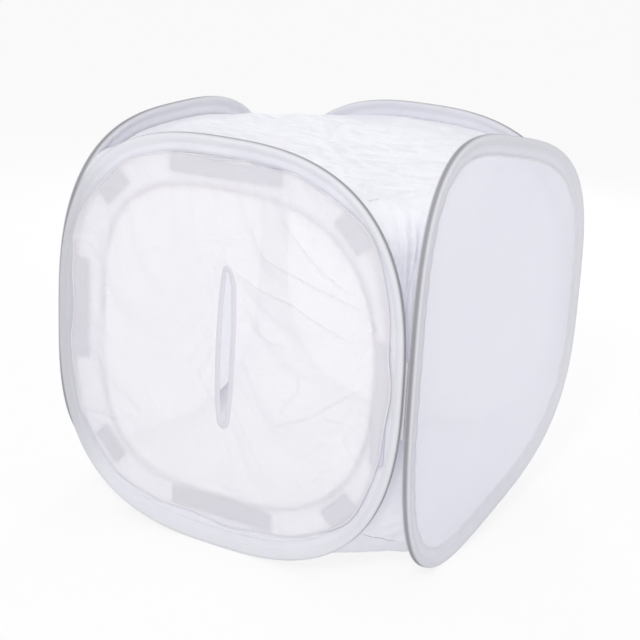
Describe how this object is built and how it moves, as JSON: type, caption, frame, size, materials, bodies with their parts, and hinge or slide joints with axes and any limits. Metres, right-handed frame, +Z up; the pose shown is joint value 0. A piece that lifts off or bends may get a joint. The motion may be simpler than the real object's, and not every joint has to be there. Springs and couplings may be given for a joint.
{
  "type": "light tent cube",
  "caption": "Pop-up cube of white translucent cloth on sprung steel hoops for product photography, with a lift-up front cover that has a lens slit; its corners fold flat.",
  "frame": {"origin": "on the table, under the tent's upright axis, at the middle of the floor's underside", "axes": "+Z up, the front panel with its cover faces -Y, +X to the right seen from the front"},
  "size_m": [0.612, 0.6182, 0.6309],
  "materials": {
    "panel_cloth": "thin translucent white nylon",
    "body_cloth": "soft white diffusing nylon",
    "white_tape": "folded white binding tape",
    "spring_steel": "blued flat spring strip",
    "loop_tape": "white loop tape",
    "hook_tape": "white hook tape"
  },
  "bodies": {
    "front": {"front_hoop_hem": "white_tape", "front_hoop": "spring_steel", "front_hoop_ferrule": "spring_steel", "front_flange": "panel_cloth", "opening_binding": "white_tape", "top_panel": "body_cloth", "bottom_panel": "body_cloth", "gusset_front_right": "body_cloth", "gusset_front_left": "body_cloth", "corner_tape_front_right": "white_tape", "corner_tape_front_left": "white_tape", "cover_header": "panel_cloth", "hook_patch_top": "hook_tape", "loop_patch_top": "loop_tape", "loop_patch_bottom": "loop_tape", "loop_patch_left": "loop_tape", "loop_patch_right": "loop_tape", "loop_patch_upper_left": "loop_tape", "loop_patch_upper_right": "loop_tape", "loop_patch_lower_left": "loop_tape", "loop_patch_lower_right": "loop_tape"},
    "right": {"right_hoop_hem": "white_tape", "right_hoop": "spring_steel", "right_hoop_ferrule": "spring_steel", "right_panel": "panel_cloth", "gusset_back_right": "body_cloth", "corner_tape_back_right": "white_tape"},
    "back": {"back_hoop_hem": "white_tape", "back_hoop": "spring_steel", "back_hoop_ferrule": "spring_steel", "back_panel": "panel_cloth", "gusset_back_left": "body_cloth", "corner_tape_back_left": "white_tape", "backdrop_strip_left": "loop_tape", "backdrop_strip_right": "loop_tape"},
    "left": {"left_hoop_hem": "white_tape", "left_hoop": "spring_steel", "left_hoop_ferrule": "spring_steel", "left_panel": "panel_cloth"},
    "front_cover": {"front_cover": "panel_cloth", "slit_binding": "white_tape", "hook_patch_bottom": "hook_tape", "hook_patch_left": "hook_tape", "hook_patch_right": "hook_tape", "hook_patch_upper_left": "hook_tape", "hook_patch_upper_right": "hook_tape", "hook_patch_lower_left": "hook_tape", "hook_patch_lower_right": "hook_tape"}
  },
  "joints": [
    {"name": "right_fold", "type": "hinge", "parent": "front", "child": "right", "pos_m": [0.294, -0.294, 0], "axis": [0, 0, -1], "range_deg": [0, 80], "deforming": ["top_panel", "bottom_panel", "gusset_front_right", "corner_tape_front_right"]},
    {"name": "left_fold", "type": "hinge", "parent": "front", "child": "left", "pos_m": [-0.294, -0.294, 0], "axis": [0, 0, -1], "range_deg": [0, 80], "deforming": ["gusset_front_left", "corner_tape_front_left"]},
    {"name": "back_fold", "type": "hinge", "parent": "right", "child": "back", "pos_m": [0.294, 0.294, 0], "axis": [0, 0, 1], "range_deg": [0, 80], "deforming": ["gusset_back_right", "corner_tape_back_right", "gusset_back_left", "corner_tape_back_left"]},
    {"name": "cover_lift", "type": "hinge", "parent": "front", "child": "front_cover", "pos_m": [0, -0.3045, 0.551], "axis": [1, 0, 0], "range_deg": [-120, 0]}
  ],
  "couplings": [
    {"joint": "left_fold", "follows": "right_fold", "ratio": 1},
    {"joint": "back_fold", "follows": "right_fold", "ratio": 1}
  ]
}
